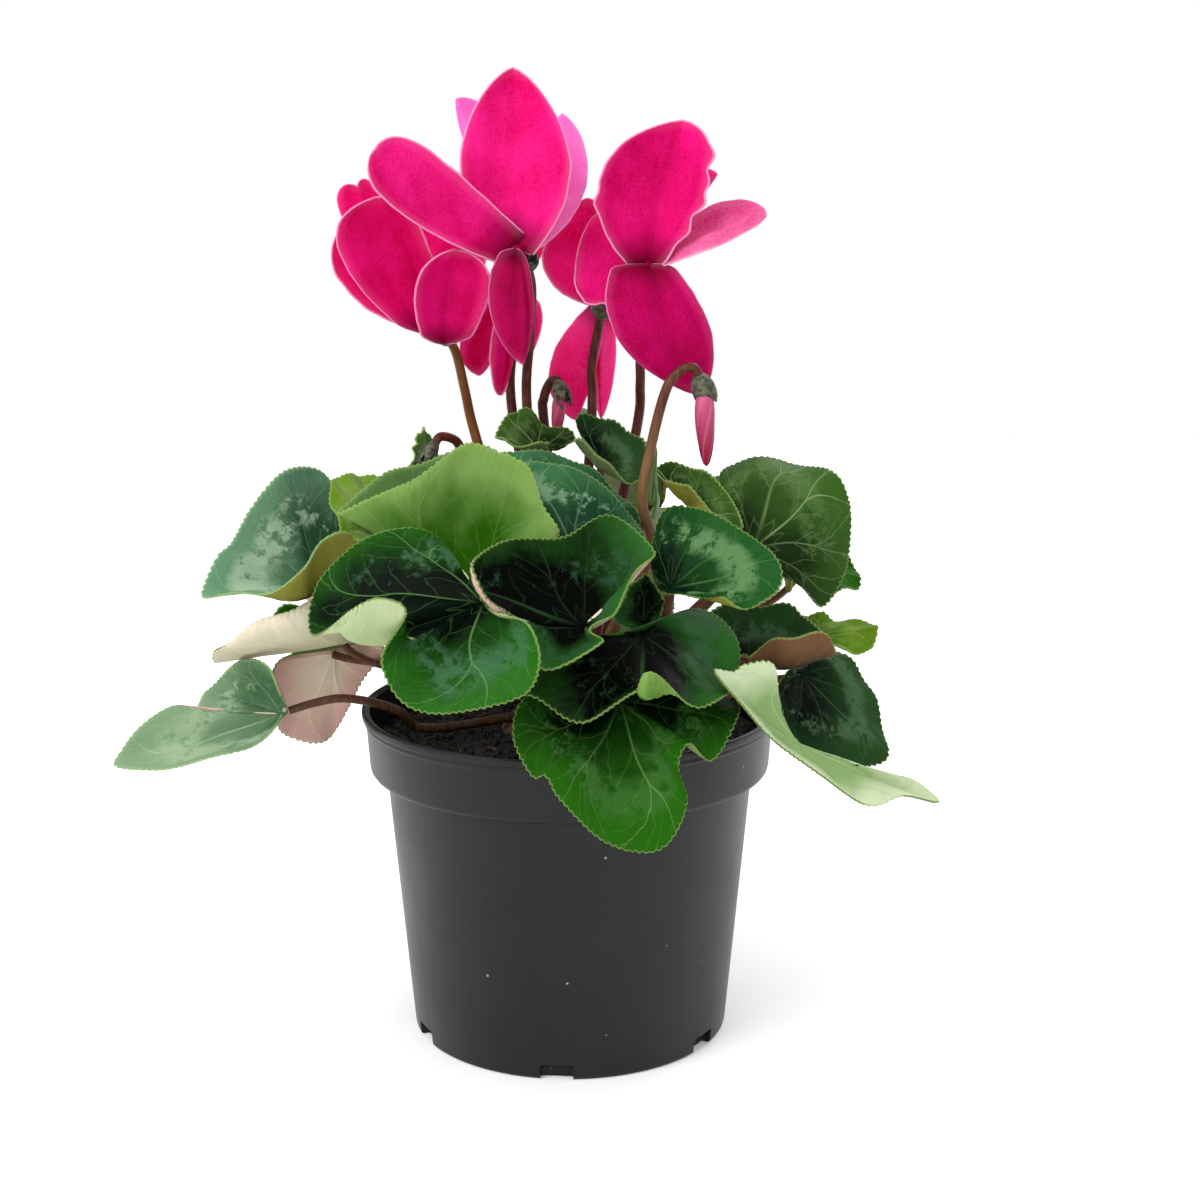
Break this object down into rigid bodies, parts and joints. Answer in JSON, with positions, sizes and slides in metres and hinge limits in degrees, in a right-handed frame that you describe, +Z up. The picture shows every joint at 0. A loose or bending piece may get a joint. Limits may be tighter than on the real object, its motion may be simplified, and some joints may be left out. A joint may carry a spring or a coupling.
{
  "type": "potted cyclamen",
  "caption": "Cyclamen plant in flower: reflexed pink petals on hooked stalks over a mound of marbled heart-shaped leaves, in a tapered black nursery pot with a collar.",
  "frame": {"origin": "centre of the flat underside of the pot's floor", "axes": "+Z up out of the pot; -Y is the side seen in the picture; +X is to the viewer's right"},
  "size_m": [0.2412, 0.2154, 0.297],
  "materials": {
    "pot_plastic": "satin black injection-moulded plastic",
    "soil": "damp crumbly peat, matt",
    "leaf_stalk": "reddish-brown fleshy stalk, softly satin",
    "leaf": "thick leaf, waxy satin, marbled above and pinkish grey below",
    "flower_stalk": "dark reddish-brown fleshy stalk with a green calyx",
    "petal": "magenta petal, velvety and thin, pale at the margin",
    "bud": "rose-pink furled petals"
  },
  "bodies": {
    "root": {"pot": "pot_plastic", "soil": "soil", "tuber_and_leaf_stalks": "leaf_stalk", "leaf_01": "leaf", "leaf_02": "leaf", "leaf_03": "leaf", "leaf_04": "leaf", "leaf_05": "leaf", "leaf_06": "leaf", "leaf_07": "leaf", "leaf_08": "leaf", "leaf_09": "leaf", "leaf_10": "leaf", "leaf_11": "leaf", "leaf_12": "leaf", "leaf_13": "leaf", "leaf_14": "leaf", "leaf_15": "leaf", "leaf_16": "leaf", "leaf_17": "leaf", "leaf_18": "leaf", "leaf_19": "leaf", "leaf_20": "leaf", "leaf_21": "leaf", "leaf_22": "leaf", "leaf_23": "leaf", "leaf_24": "leaf", "leaf_25": "leaf", "leaf_26": "leaf", "leaf_27": "leaf", "leaf_28": "leaf", "leaf_29": "leaf", "leaf_30": "leaf", "leaf_31": "leaf", "leaf_32": "leaf", "leaf_33": "leaf", "leaf_34": "leaf", "leaf_35": "leaf", "leaf_36": "leaf", "leaf_37": "leaf", "leaf_38": "leaf", "leaf_39": "leaf", "flower_1_stalk": "flower_stalk", "flower_2_stalk": "flower_stalk", "flower_3_stalk": "flower_stalk", "flower_4_stalk": "flower_stalk", "flower_5_stalk": "flower_stalk", "bud_1_stalk": "flower_stalk", "bud_2_stalk": "flower_stalk", "bud_3_stalk": "flower_stalk", "flower_1_petals": "petal", "flower_2_petals": "petal", "flower_3_petals": "petal", "flower_4_petals": "petal", "flower_5_petals": "petal", "bud_1_petals": "bud", "bud_2_petals": "bud", "bud_3_petals": "bud"}
  },
  "joints": []
}
